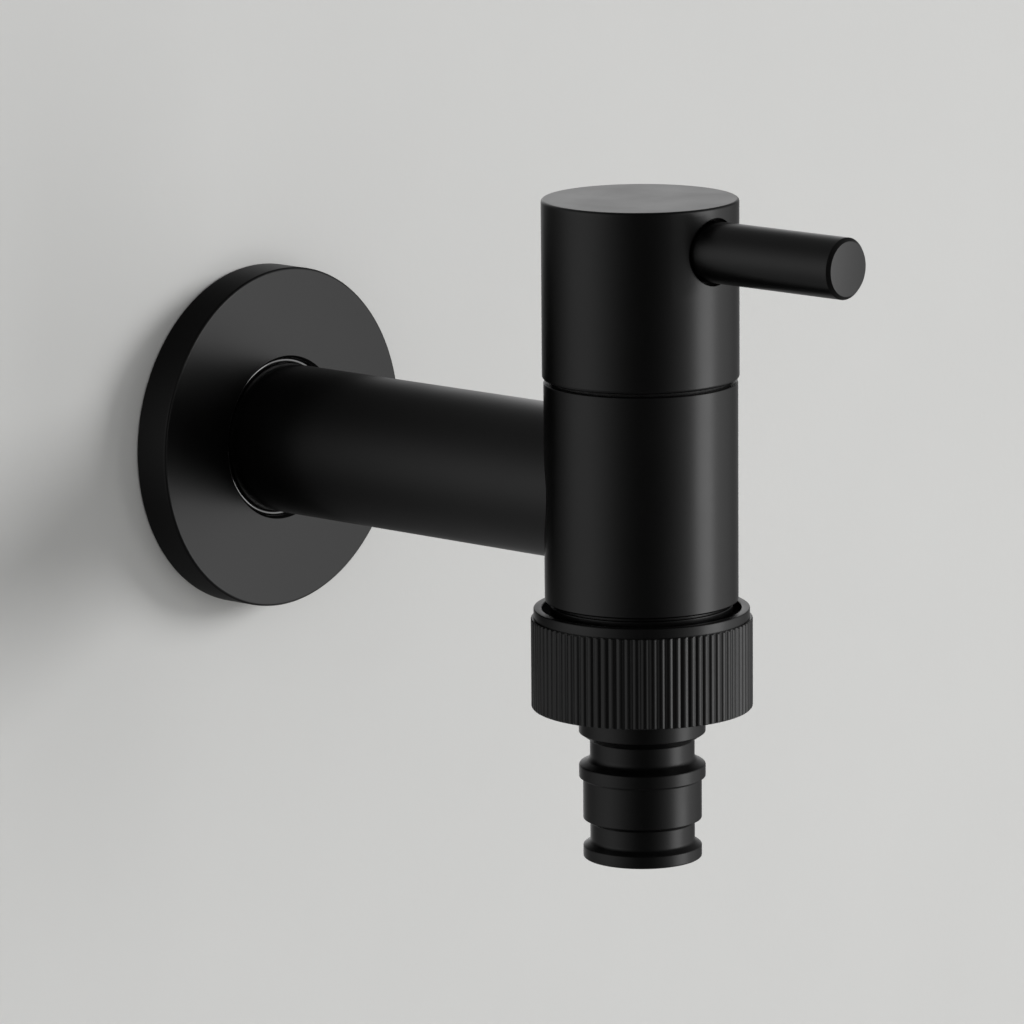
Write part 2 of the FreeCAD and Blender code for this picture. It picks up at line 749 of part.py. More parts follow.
def hose_nipple():
    """Turned nipple for a push-on hose connector, with a flange that the nut pulls up."""
    body = new_body("hose_nipple")
    flange_foot = f"{NUT_FOOT} + nut_floor + end_play"
    corners = [
        ("nipple_bore_width", GASKET),
        ("nipple_flange_width", GASKET),
        ("nipple_flange_width", flange_foot),
        ("nipple_collar_width", flange_foot),
    ]
    level = NUT_FOOT
    steps = [
        ("nipple_collar_width", "nipple_collar_length - nipple_collar_taper"),
        ("nipple_neck_width", "nipple_collar_taper"),
        ("nipple_neck_width", "nipple_neck_length"),
        ("latch_width", "latch_taper"),
        ("latch_width", "latch_length"),
        ("nose_width", "0"),
        ("nose_width", "nose_length"),
        ("nipple_neck_width", "nose_taper"),
        ("nipple_neck_width", "nose_neck_length"),
        ("nose_width", "tip_taper"),
        ("nose_width", "tip_length - tip_edge"),
        ("nose_width - tip_edge * 2", "tip_edge"),
        ("nipple_bore_width", "0"),
    ]
    for width, drop in steps:
        level = f"({level} - ({drop}))"
        corners.append((width, level))
    turn_profile(body, "section", corners)
    return body


def all_pieces():
    return [
        wall_rosette(), rosette_o_ring(), inlet_arm(), valve_barrel(), skirt_guide_ring(),
        bonnet_gasket(), headwork_bonnet(), seat_seal(), seal_support_ring(), fixed_disc(),
        moving_disc(), spindle(), thrust_washer(), stop_ring(), spindle_clip(),
        spindle_o_ring("spindle_lower_o_ring", SEAL_GROOVE),
        spindle_o_ring("spindle_upper_o_ring", f"{SEAL_GROOVE} + seal_groove_pitch"),
        handle_cap(), handle_lever(), lever_stud(), handle_grub_screw(),
        union_nut(), union_gasket(), hose_nipple(),
    ]


def check_objects(pieces):
    """Stop if any object of the document failed, or a piece is empty or not one sound solid."""
    failed = [thing.Name for thing in doc.Objects if {"Invalid", "Error"} & set(thing.State)]
    if failed:
        raise RuntimeError(f"failed: {failed}")
    for piece in pieces:
        shape = piece.Shape
        if shape.isNull() or not shape.isValid() or len(shape.Solids) != 1:
            raise RuntimeError(f"{piece.Label} is not one sound solid")


fill_sheet()
pieces = all_pieces()
doc.recompute()
check_objects(pieces)
os.makedirs("parts", exist_ok=True)
for piece in pieces:
    piece.Shape.exportStep(f"parts/{piece.Label}.step")
    print(f"{piece.Label}: {piece.Shape.Volume:.1f} mm3")
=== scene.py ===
import json
import math

import bmesh
import bpy
from mathutils import Matrix, Vector


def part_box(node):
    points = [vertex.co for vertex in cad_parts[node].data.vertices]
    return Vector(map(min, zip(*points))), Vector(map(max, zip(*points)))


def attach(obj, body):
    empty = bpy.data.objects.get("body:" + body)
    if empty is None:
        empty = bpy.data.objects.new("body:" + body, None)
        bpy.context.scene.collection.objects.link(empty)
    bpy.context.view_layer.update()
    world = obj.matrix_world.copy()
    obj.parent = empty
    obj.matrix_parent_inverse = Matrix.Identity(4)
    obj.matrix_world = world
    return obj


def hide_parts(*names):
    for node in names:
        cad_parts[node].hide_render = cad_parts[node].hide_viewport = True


# Wall-mounted tap. The wall face is Y = 0, the tap stands out towards -Y and +Z is up.
# The scene and its stage are in metres. The tap's sizes and levels are named in millimetres, and the
# points made from them are scaled.

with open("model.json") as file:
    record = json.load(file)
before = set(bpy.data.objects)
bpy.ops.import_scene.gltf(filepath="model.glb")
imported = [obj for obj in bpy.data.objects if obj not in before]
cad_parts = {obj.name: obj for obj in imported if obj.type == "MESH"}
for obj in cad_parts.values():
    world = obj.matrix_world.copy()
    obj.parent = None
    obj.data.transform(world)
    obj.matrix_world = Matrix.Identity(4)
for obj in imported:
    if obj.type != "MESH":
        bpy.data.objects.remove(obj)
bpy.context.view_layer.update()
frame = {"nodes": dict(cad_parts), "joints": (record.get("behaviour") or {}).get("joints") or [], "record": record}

MM = 0.001
MICRON = 0.000001
TURN = math.tau
X, Y, Z = 0, 1, 2
LOW, HIGH = 0, 1


def span(node, axis):
    """Lowest and highest value of a node along an axis, in millimetres."""
    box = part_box(node)
    return box[LOW][axis] / MM, box[HIGH][axis] / MM


# Sizes and places that the frame gives
JOINTS = {joint["name"]: joint for joint in frame["joints"]}
BARREL_AXIS = JOINTS["handle_turn"]["pos_m"][Y] / MM
NECK_END, COLLAR_TOP = span("valve_barrel", Z)
BARREL_TOP = span("skirt_guide_ring", Z)[LOW]
CAP_FOOT, CAP_TOP = span("handle_cap", Z)
CAP_RADIUS = span("handle_cap", X)[HIGH]
LEVER_RADIUS = span("handle_lever", X)[HIGH]
LEVER_END, LEVER_BASE = (level - BARREL_AXIS for level in span("handle_lever", Y))
LEVER_Z = sum(span("handle_lever", Z)) / 2
NUT_FOOT, NUT_TOP = span("union_nut", Z)
TAIL_FOOT, TAIL_TOP = span("hose_nipple", Z)
ARM_RADIUS = span("inlet_arm", X)[HIGH]
ARM_END = span("inlet_arm", Y)[HIGH]
ROSETTE_RADIUS = span("wall_rosette", X)[HIGH]
ROSETTE_FRONT = span("wall_rosette", Y)[LOW]

# Sizes that no box gives
BARREL_RADIUS = 14.0
BARREL_FOOT = NUT_TOP + 1.05
HALF_INCH = 10.4775               # crest radii of the two pipe threads
THREE_QUARTER = 13.2205
PIPE_PITCH = 1.814
THREAD_DEPTH = 1.162
HOLE_RADIUS = ARM_RADIUS + 0.88   # the rosette's hole
RECESS_RADIUS = 4.8               # the lever's recess in the cap
RECESS_EDGE = 0.12                # the radius of the recess's soft edge
NUT_RADIUS = 16.05
NUT_RIM_RADIUS = 15.65
NUT_RIM_HEIGHT = 1.45
RIBS = 86
RIB_END = 0.15                    # the chamfer at both ends of the ribs
# Half a rib, from the middle of its land to the bottom of its groove: along the pitch, and below the land
HALF_RIB = [
    (0.0, 0.0), (0.12, 0.004), (0.22, 0.022), (0.32, 0.062), (0.42, 0.116), (0.52, 0.158), (0.586, 0.17),
]
CRISP, EDGE, SOFT = 0.1, 0.15, 0.2   # the radii of most corners

# How finely the shapes are drawn
COLUMNS = 144                     # faces round a turned piece
FINE_COLUMNS = 160                # faces round a piece with a thread
ROSETTE_COLUMNS = 192
LEVER_COLUMNS = 96
RING_STEPS = 20                   # faces round the ring's section
INLET_ROWS, NECK_ROWS = 112, 64   # rows of faces along the two threads
RECESS_COLUMNS, RECESS_ROWS = 24, 22   # faces across and along the opened front of the cap
SHARP = math.radians(40)          # a sharper edge than this stays an edge

# The stage and its light, in metres
FLOOR_Z = -0.9
WALL_Y = 0.0002                   # just behind the rosette's rim
WALL_TOP = 3.0
STAGE_REACH = 4.0
STAGE_COLOUR = (0.62, 0.62, 0.61)
STAGE_LIGHT = 0.54                # the even light that the stage gets from all round
# The wall's painted shade: a dark patch, seen only in reflections, that stands for the tap's shadow on the wall;
# how clear it is next to the tap, and where it starts to clear and is clear
PAINTED_SHADE_OPEN = 0.2
PAINTED_SHADE_NEAR, PAINTED_SHADE_FAR = 0.024, 0.079
STUDIO_DARK = 0.003               # the studio's level between its panels
# Soft panels: azimuth and elevation in degrees, strength, and how sharply they fall off
PANELS = [
    (-116, 3, 0.66, 5.3),
    (140, 4, 1.12, 13.0),
    (39, -3, 1.05, 4.6),
    (180, 45, 0.14, 5.0),
    (180, -50, 0.22, 3.5),
]
SOFTBOX_PLACE = (0.288, -0.557, -0.04)
SOFTBOX_TARGET = (0.0, -0.076, 0.0)
SOFTBOX_SIZE = (0.25, 0.55)
SOFTBOX_RADIANCE = 1.83
BROAD_AZIMUTH, BROAD_ELEVATION = 60, 12
BROAD_SPREAD = math.radians(24)
BROAD_STRENGTH = 2.25

# The photograph's viewpoint: angles in degrees, lengths in metres, the aim between wall and barrel
VIEW_AZIMUTH, VIEW_ELEVATION, VIEW_ROLL = -48.483, 11.192, -0.455
VIEW_DISTANCE = 1.01639
VIEW_AIM = Vector((0, BARREL_AXIS * 0.7, 0)) * MM
VIEW_ASIDE = Vector((-1.44, -5.431)) * MM
FOCAL_PIXELS = 6955.8
IMAGE_PIXELS = 1024
SENSOR_WIDTH = 36

UPRIGHT = Matrix.Translation((0, BARREL_AXIS * MM, 0))
ALONG_Y = Matrix.Rotation(-TURN / 4, 4, "X")
LEVER_PLACE = UPRIGHT @ Matrix.Translation((0, 0, LEVER_Z * MM)) @ ALONG_Y


# Outlines and meshes


def rounded(corners, steps=4):
    """The closed outline through (across, along, radius) corners, each turned by an arc of its radius."""
    points = []
    count = len(corners)
    for index, (across, along, radius) in enumerate(corners):
        if not radius:
            points.append((across, along))
            continue
        here = Vector((across, along))
        back = (Vector(corners[index - 1][:2]) - here).normalized()
        ahead = (Vector(corners[(index + 1) % count][:2]) - here).normalized()
        half = back.angle(ahead) / 2
        start = here + back * radius / math.tan(half)
        end = here + ahead * radius / math.tan(half)
        centre = here + (back + ahead).normalized() * radius / math.sin(half)
        for step in range(steps + 1):
            share = step / steps
            spoke = (start - centre) * (1 - share) + (end - centre) * share
            points.append(tuple(centre + spoke.normalized() * radius))
    return points


def stepped(start, end, count):
    """Points between two levels, without the last."""
    return [start + (end - start) * step / count for step in range(count)]


def evenly(columns):
    """The angles of a number of columns all round."""
    return stepped(0, TURN, columns)


def add_rows(outline, across, start, end, count):
    """Divide the outline's straight stretch from (across, start) to the level end."""
    after = outline.index((across, start)) + 1
    outline[after:after] = [(across, level) for level in stepped(start, end, count)[1:]]


def join(work, here, following):
    """Faces between two closed rings of the same number of points."""
    count = len(here)
    for index in range(count):
        after = (index + 1) % count
        work.faces.new((here[index], following[index], following[after], here[after]))


def turned(outline, place, angles, shape=None):
    """A mesh of the outline turned about its axis. The shape may move each (across, along) by its angle."""
    work = bmesh.new()
    rings = []
    for angle in angles:
        ring = []
        for across, along in outline:
            if shape:
                across, along = shape(across, along, angle)
            point = Vector((across * math.cos(angle), across * math.sin(angle), along)) * MM
            ring.append(work.verts.new(place @ point))
        rings.append(ring)
    for here, following in zip(rings, rings[1:] + rings[:1]):
        join(work, here, following)
    return work


def threaded(crest, start, end):
    """A shape that cuts a pipe thread between two levels of the crest's cylinder, fading at both ends."""
    fade_length = PIPE_PITCH * 0.7
    land = 0.12                   # the share of the pitch that is flat at the crest, and at the root

    def shape(across, along, angle):
        if abs(across - crest) > 1e-6 or not start <= along <= end:
            return across, along
        phase = (along / PIPE_PITCH - angle / TURN) % 1.0
        rise = abs(phase * 2 - 1)
        flank = min(max((rise - land) / (1 - land * 2), 0.0), 1.0)
        fade = min((along - start) / fade_length, (end - along) / fade_length, 1.0)
        return across - THREAD_DEPTH * flank * max(fade, 0.0), along

    return shape


def piece_from(name, work, body, slot, node):
    """Finish a mesh as a piece: smooth, with true edges, riding on its body and standing for a CAD node."""
    bmesh.ops.remove_doubles(work, verts=work.verts, dist=1e-7)
    bmesh.ops.recalc_face_normals(work, faces=work.faces)
    mesh = bpy.data.meshes.new(name)
    work.to_mesh(mesh)
    work.free()
    mesh.polygons.foreach_set("use_smooth", [True] * len(mesh.polygons))
    mesh.set_sharp_from_angle(angle=SHARP)
    mesh.materials.append(MATERIALS[slot])
    piece = bpy.data.objects.new(name, mesh)
    bpy.context.scene.collection.objects.link(piece)
    normals = piece.modifiers.new("face_weighted", "WEIGHTED_NORMAL")
    normals.keep_sharp = True
    normals.weight = 100
    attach(piece, body)
    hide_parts(node)


# Materials


def grey(value):
    """A colour without a hue."""
    return value, value, value


class Nodes:
    """A node tree under construction, with a short way to add nodes whose inputs are linked or set."""

    def __init__(self, tree):
        self.tree = tree

    def node(self, kind, inputs=None, **settings):
        made = self.tree.nodes.new(f"ShaderNode{kind}")
        for label, value in settings.items():
            setattr(made, label, value)
        for label, value in (inputs or {}).items():
            if isinstance(value, bpy.types.NodeSocket):
                self.tree.links.new(value, made.inputs[label])
            else:
                made.inputs[label].default_value = value
        return made

    def maths(self, operation, *values):
        return self.node("Math", dict(enumerate(values)), operation=operation).outputs["Value"]


class Shader(Nodes):
    """A material under construction."""

    def __init__(self, name, colour, roughness, **sockets):
        self.material = bpy.data.materials.new(name)
        self.material.use_nodes = True
        super().__init__(self.material.node_tree)
        self.surface = self.tree.nodes["Principled BSDF"]
        self.surface.inputs["Base Color"].default_value = (*colour, 1)
        self.surface.inputs["Roughness"].default_value = roughness
        for label, value in sockets.items():
            self.surface.inputs[label.replace("_", " ")].default_value = value
        self.place = self.node("TexCoord").outputs["Object"]

    def feed(self, label, socket):
        self.tree.links.new(socket, self.surface.inputs[label])

    def noise(self, scale, detail=2.0):
        """Noise from 0 to 1 whose grain is about 1 / scale metres."""
        inputs = {"Vector": self.place, "Scale": scale, "Detail": detail}
        return self.node("TexNoise", inputs).outputs["Fac"]

    def streaks(self, scales, detail=2.0):
        """Noise from 0 to 1 whose grain is about 1 / scale metres along each axis."""
        place = self.node("Mapping", {"Vector": self.place, "Scale": scales}).outputs["Vector"]
        inputs = {"Vector": place, "Scale": 1.0, "Detail": detail}
        return self.node("TexNoise", inputs).outputs["Fac"]

    def ranged(self, value, low, high, start=0.3, end=0.7):
        """A value that goes from low to high while another goes from start to end."""
        inputs = {"Value": value, "From Min": start, "From Max": end, "To Min": low, "To Max": high}
        return self.node("MapRange", inputs).outputs["Result"]

    def mottle(self, first, second, grain, start=0.3, end=0.7):
        """Colour that goes from one shade to another with a grain."""
        inputs = {0: self.ranged(grain, 0, 1, start, end), 6: (*first, 1), 7: (*second, 1)}
        self.feed("Base Color", self.node("Mix", inputs, data_type="RGBA").outputs[2])

    def gloss(self, low, high, grain):
        """Roughness that goes from one value to another with a grain."""
        self.feed("Roughness", self.ranged(grain, low, high))

    def bump(self, *reliefs):
        """Chain (grain, height in microns, strength) reliefs into the surface's normal."""
        normal = None
        for grain, height, strength in reliefs:
            inputs = {"Height": grain, "Distance": height * MICRON, "Strength": strength}
            if normal:
                inputs["Normal"] = normal
            normal = self.node("Bump", inputs).outputs["Normal"]
        self.feed("Normal", normal)


def black_coat():
    """Satin black coating: a very fine even grain, with broad faint changes of gloss."""
    shader = Shader("body_black", grey(0.001), 0.3, IOR=1.5)
    shader.mottle(grey(0.0008), grey(0.0012), shader.noise(260, 3))
    shader.gloss(0.28, 0.32, shader.noise(140, 4))
    shader.bump((shader.noise(5200), 6, 0.35), (shader.noise(900), 10, 0.12))
    return shader.material


def nipple_black():
    """Black coating over a turned surface: faint rings round the axis and a smoother gloss."""
    shader = Shader("nipple_black", grey(0.001), 0.33, IOR=1.46)
    shader.mottle(grey(0.0008), grey(0.0013), shader.noise(300, 3))
    shader.gloss(0.31, 0.35, shader.noise(200, 3))
    shader.bump((shader.streaks((40, 40, 9000)), 4, 0.3), (shader.noise(4200), 5, 0.25))
    return shader.material


def seal_rubber():
    """Smooth black rubber, with a wet gloss and a little dust in its grain."""
    gloss = {"Specular_IOR_Level": 1.0, "Coat_Weight": 1.0, "Coat_Roughness": 0.03, "Coat_IOR": 1.8}
    shader = Shader("seal_rubber", grey(0.006), 0.1, IOR=1.6, **gloss)
    shader.mottle(grey(0.005), grey(0.009), shader.noise(700, 4))
    shader.gloss(0.08, 0.13, shader.noise(900, 3))
    shader.bump((shader.noise(2600), 6, 0.2))
    return shader.material


def headwork_brass():
    """Turned brass: fine rings round the axis and a slight tarnish."""
    shader = Shader("headwork_brass", (0.62, 0.43, 0.17), 0.28, Metallic=1.0)
    shader.mottle((0.66, 0.46, 0.19), (0.5, 0.33, 0.12), shader.noise(420, 5))
    shader.gloss(0.22, 0.36, shader.noise(900, 3))
    shader.bump((shader.streaks((60, 60, 7000)), 5, 0.4))
    return shader.material


def disc_ceramic():
    """Lapped ceramic: off-white, nearly smooth, with faint specks."""
    shader = Shader("disc_ceramic", (0.8, 0.78, 0.73), 0.3)
    shader.mottle((0.82, 0.8, 0.75), (0.7, 0.67, 0.62), shader.noise(3000), start=0.55, end=0.75)
    shader.gloss(0.24, 0.36, shader.noise(1500))
    shader.bump((shader.noise(4000), 3, 0.2))
    return shader.material


def moulded_plastic(name, colour, first, second):
    """Plastic with a moulded grain."""
    shader = Shader(name, colour, 0.5, IOR=1.5)
    shader.mottle(first, second, shader.noise(600, 3))
    shader.gloss(0.42, 0.58, shader.noise(1200, 3))
    shader.bump((shader.noise(3000), 8, 0.3))
    return shader.material


def gasket_fibre():
    """Red-brown pressed fibre with short darker strands."""
    shader = Shader("gasket_fibre", (0.3, 0.09, 0.05), 0.8)
    strands = shader.streaks((3000, 900, 2000), 4)
    shader.mottle((0.34, 0.11, 0.06), (0.18, 0.05, 0.03), strands)
    shader.gloss(0.7, 0.9, shader.noise(1500, 3))
    shader.bump((strands, 20, 0.5))
    return shader.material


def fastener_steel():
    """Plain stainless steel with fine drawn lines."""
    shader = Shader("fastener_steel", (0.5, 0.5, 0.51), 0.3, Metallic=1.0)
    shader.mottle((0.52, 0.52, 0.53), (0.4, 0.4, 0.41), shader.noise(500, 4))
    shader.gloss(0.22, 0.38, shader.noise(1400, 3))
    shader.bump((shader.streaks((6000, 60, 6000)), 4, 0.4))
    return shader.material


MATERIALS = {
    "body_black": black_coat(),
    "nipple_black": nipple_black(),
    "seal_rubber": seal_rubber(),
    "headwork_brass": headwork_brass(),
    "disc_ceramic": disc_ceramic(),
    "bearing_plastic": moulded_plastic(
        "bearing_plastic", (0.72, 0.7, 0.64), (0.75, 0.73, 0.67), (0.66, 0.64, 0.58)),
    "guide_plastic": moulded_plastic("guide_plastic", grey(0.01), grey(0.009), grey(0.013)),
    "gasket_fibre": gasket_fibre(),
    "fastener_steel": fastener_steel(),
}


def finish_inner_nodes():
    """Give each CAD node that stays the material of its own slot."""
    for part in frame["record"]["subparts"]:
        node = frame["nodes"][part["node"]]
        node.data.materials.clear()
        node.data.materials.append(MATERIALS[part["material_slot"]])


# The pieces that show


def rosette():
    """Round cover with a crisp front edge, a chamfered hole, and a hollow back with a collar."""
    chamfer = 0.35
    collar = HOLE_RADIUS + 1.7
    collar_end = -1.5
    inside = ROSETTE_RADIUS - 1.8
    inside_floor = ROSETTE_FRONT + 1.6
    outline = rounded([
        (HOLE_RADIUS, ROSETTE_FRONT + chamfer, CRISP),
        (HOLE_RADIUS + chamfer, ROSETTE_FRONT, CRISP / 2),
        (ROSETTE_RADIUS, ROSETTE_FRONT, 0.4),
        (ROSETTE_RADIUS, 0, EDGE),
        (inside, 0, EDGE),
        (inside, inside_floor, 0.5),
        (collar, inside_floor, 0.5),
        (collar, collar_end, SOFT),
        (HOLE_RADIUS, collar_end, SOFT),
    ])
    work = turned(outline, ALONG_Y, evenly(ROSETTE_COLUMNS))
    piece_from("rosette_cover", work, "tap_body", "body_black", "wall_rosette")


def rosette_ring():
    """Glossy rubber ring of round section between the arm and the rosette's hole."""
    section = 0.42
    middle = (ARM_RADIUS + HOLE_RADIUS) / 2
    centre = ROSETTE_FRONT + 1.13
    outline = []
    for angle in evenly(RING_STEPS):
        outline.append((middle + section * math.cos(angle), centre + section * math.sin(angle)))
    work = turned(outline, ALONG_Y, evenly(COLUMNS))
    piece_from("arm_ring", work, "tap_body", "seal_rubber", "rosette_o_ring")


def arm():
    """Tube from the wall to the barrel, coped to it, with the inlet thread behind the wall."""
    bore = 7.5
    cope = BARREL_AXIS + BARREL_RADIUS
    cope_radius = BARREL_RADIUS - 0.02
    shoulder = -1.0
    chamfer, bore_chamfer = 0.9, 0.3
    thread_start, thread_end = shoulder + 0.4, ARM_END - chamfer
    outline = rounded([
        (bore, cope, 0),
        (ARM_RADIUS, cope, 0),
        (ARM_RADIUS, cope + 1.0, 0),
        (ARM_RADIUS, shoulder - 6.0, 0),
        (ARM_RADIUS, shoulder, 0.25),
        (HALF_INCH, shoulder, 0),
        (HALF_INCH, thread_start, 0),
        (HALF_INCH, thread_end, 0),
        (HALF_INCH - chamfer, ARM_END, 0),
        (bore + bore_chamfer, ARM_END, 0),
        (bore, ARM_END - bore_chamfer, 0),
    ])
    add_rows(outline, HALF_INCH, thread_start, thread_end, INLET_ROWS)
    cut = threaded(HALF_INCH, thread_start, thread_end)

    def shape(across, along, angle):
        if along != cope:
            return cut(across, along, angle)
        sideways = across * math.cos(angle)
        return across, BARREL_AXIS + math.sqrt(cope_radius ** 2 - sideways ** 2)

    work = turned(outline, ALONG_Y, evenly(FINE_COLUMNS), shape)
    piece_from("arm_tube", work, "tap_body", "body_black", "inlet_arm")


def barrel():
    """Barrel with soft edges, a groove under it and the outlet neck's thread."""
    bore = 9.0
    chamfer = 0.45
    groove_radius = 12.8
    groove_foot = BARREL_FOOT - 0.5
    collar = 12.0
    seat = COLLAR_TOP - 8.6
    thread_foot, thread_top = NECK_END + 0.5, groove_foot - 1.5
    outline = rounded([
        (THREE_QUARTER - chamfer, NECK_END, CRISP),
        (THREE_QUARTER, NECK_END + chamfer, CRISP),
        (THREE_QUARTER, thread_foot, 0),
        (THREE_QUARTER, thread_top, 0),
        (THREE_QUARTER, groove_foot, EDGE),
        (groove_radius, groove_foot, 0),
        (groove_radius, BARREL_FOOT, 0),
        (BARREL_RADIUS, BARREL_FOOT, 0.3),
        (BARREL_RADIUS, BARREL_TOP, EDGE),
        (collar, BARREL_TOP, 0),
        (collar, COLLAR_TOP, SOFT),
        (HALF_INCH, COLLAR_TOP, 0),
        (HALF_INCH, seat, 0),
        (bore, seat, 0),
        (bore, NECK_END, SOFT),
    ])
    add_rows(outline, THREE_QUARTER, thread_foot, thread_top, NECK_ROWS)
    cut = threaded(THREE_QUARTER, thread_foot, thread_top)
    work = turned(outline, UPRIGHT, evenly(FINE_COLUMNS), cut)
    piece_from("barrel_body", work, "tap_body", "body_black", "valve_barrel")


def cap():
    """Cap with a thin skirt, soft edges and a round recess for the lever."""
    top_edge = 0.4
    skirt = CAP_RADIUS - 1.25
    hub = 4.05
    cavity, hub_top = CAP_FOOT + 13.85, CAP_FOOT + 23.35
    high = CAP_TOP - top_edge
    low = LEVER_Z * 2 - high
    outline = rounded([
        (skirt, CAP_FOOT, EDGE),
        (CAP_RADIUS, CAP_FOOT, 0.5),
        (CAP_RADIUS, low - 2.0, 0),
        (CAP_RADIUS, low, 0),
        (CAP_RADIUS, CAP_TOP, top_edge),
        (0, CAP_TOP, 0),
        (0, hub_top, 0),
        (hub, hub_top, 0),
        (hub, cavity, 0),
        (skirt, cavity, 0.4),
    ])
    add_rows(outline, CAP_RADIUS, low, high, RECESS_ROWS)
    work = turned(outline, UPRIGHT, evenly(COLUMNS))
    open_front(work, low, high)
    fill_front(work, low, high)
    piece_from("cap_shell", work, "handle", "body_black", "handle_cap")


def open_front(work, low, high):
    """Take out the cap's faces in front of the lever between two levels."""
    reach = RECESS_COLUMNS / 2 * TURN / COLUMNS
    opened = []
    for face in work.faces:
        middle = UPRIGHT.inverted() @ face.calc_center_median() / MM
        outside = math.hypot(middle.x, middle.y) > CAP_RADIUS - 0.1
        front = abs(math.atan2(middle.x, -middle.y)) < reach
        if outside and front and low < middle.z < high:
            opened.append(face)
    bmesh.ops.delete(work, geom=opened, context="FACES")


def front_border(low, high):
    """The corners round the opened front, sideways and upward from the lever's axis."""
    half = RECESS_COLUMNS // 2
    step = TURN / COLUMNS
    levels = stepped(low, high, RECESS_ROWS)
    border = [(column * step, low) for column in range(-half, half)]
    border += [(half * step, level) for level in levels]
    border += [(column * step, high) for column in range(half, -half, -1)]
    border += [(-half * step, level) for level in reversed(levels[1:] + [high])]
    return [Vector((CAP_RADIUS * math.sin(angle), level - LEVER_Z)) for angle, level in border]


def on_cap(spot, depth=0.0):
    """The point on the cap's front, or under it, at a spot sideways and upward from the lever's axis."""
    out = math.sqrt(CAP_RADIUS ** 2 - spot.x ** 2) - depth
    return UPRIGHT @ (Vector((spot.x, -out, spot.y + LEVER_Z)) * MM)


def on_recess_floor(spot):
    """The point on the recess's floor at a spot sideways and upward from the lever's axis."""
    return UPRIGHT @ (Vector((spot.x, LEVER_BASE, spot.y + LEVER_Z)) * MM)


def fill_front(work, low, high):
    """Fill the opened front with rings of faces: the cap's wall, the recess's soft edge, and its floor."""
    border = front_border(low, high)
    ways = [corner.normalized() for corner in border]
    wide = RECESS_RADIUS + RECESS_EDGE
    halfway = 0.08, 0.035             # inward and down, halfway round the soft edge
    under_lever = LEVER_RADIUS - 0.6
    rings = []
    for share in (1.0, 0.65, 0.3, 0.06, 0.0):
        # from the opened border to the recess's rim
        rings.append([on_cap((way * wide).lerp(corner, share)) for way, corner in zip(ways, border)])
    for inset, depth in (halfway, (RECESS_EDGE, RECESS_EDGE)):
        rings.append([on_cap(way * (wide - inset), depth) for way in ways])
    for radius in (RECESS_RADIUS, under_lever, 0.0):
        rings.append([on_recess_floor(way * radius) for way in ways])
    loops = [[work.verts.new(point) for point in ring] for ring in rings]
    for outer, inner in zip(loops, loops[1:]):
        join(work, inner, outer)


def lever():
    """Round lever with a chamfered end."""
    chamfer = 0.5
    chamfer_edge = 0.12
    outline = rounded([
        (0, LEVER_END, 0),
        (LEVER_RADIUS - chamfer, LEVER_END, chamfer_edge),
        (LEVER_RADIUS, LEVER_END + chamfer, chamfer_edge),
        (LEVER_RADIUS, LEVER_BASE, CRISP),
        (0, LEVER_BASE, 0),
    ])
    work = turned(outline, LEVER_PLACE, evenly(LEVER_COLUMNS))
    piece_from("lever_bar", work, "handle", "body_black", "handle_lever")


def rib_radii():
    """The ribbed wall's radius at each angle round the nut."""
    half = [(offset / NUT_RADIUS, NUT_RADIUS - depth) for offset, depth in HALF_RIB]
    around = [(-offset, radius) for offset, radius in reversed(half)] + half[1:]
    return {TURN * rib / RIBS + offset: radius for rib in range(RIBS) for offset, radius in around}


def nut():
    """Nut with straight ribs that end in small chamfers, a plain top rim and an open mouth."""
    mouth, bore, hole = 14.43, 13.31, 9.3
    mouth_floor = NUT_TOP - 1.9
    bore_floor = NUT_FOOT + 2.4
    rim_foot = NUT_TOP - NUT_RIM_HEIGHT
    outline = rounded([
        (hole, NUT_FOOT, SOFT),
        (NUT_RADIUS, NUT_FOOT, 0),
        (NUT_RADIUS, NUT_FOOT + RIB_END, 0),
        (NUT_RADIUS, rim_foot - RIB_END, 0),
        (NUT_RADIUS, rim_foot, 0),
        (NUT_RIM_RADIUS, rim_foot, 0),
        (NUT_RIM_RADIUS, NUT_TOP, EDGE),
        (mouth, NUT_TOP, SOFT),
        (mouth, mouth_floor, 0),
        (bore, mouth_floor, SOFT),
        (bore, bore_floor, 0.3),
        (hole, bore_floor, SOFT),
    ])
    radii = rib_radii()

    def shape(across, along, angle):
        if across != NUT_RADIUS:
            return across, along
        chamfered = NUT_RADIUS - RIB_END + min(along - NUT_FOOT, rim_foot - along)
        return min(radii[angle], chamfered), along

    work = turned(outline, UPRIGHT, list(radii), shape)
    piece_from("nut_ribbed", work, "nut", "body_black", "union_nut")


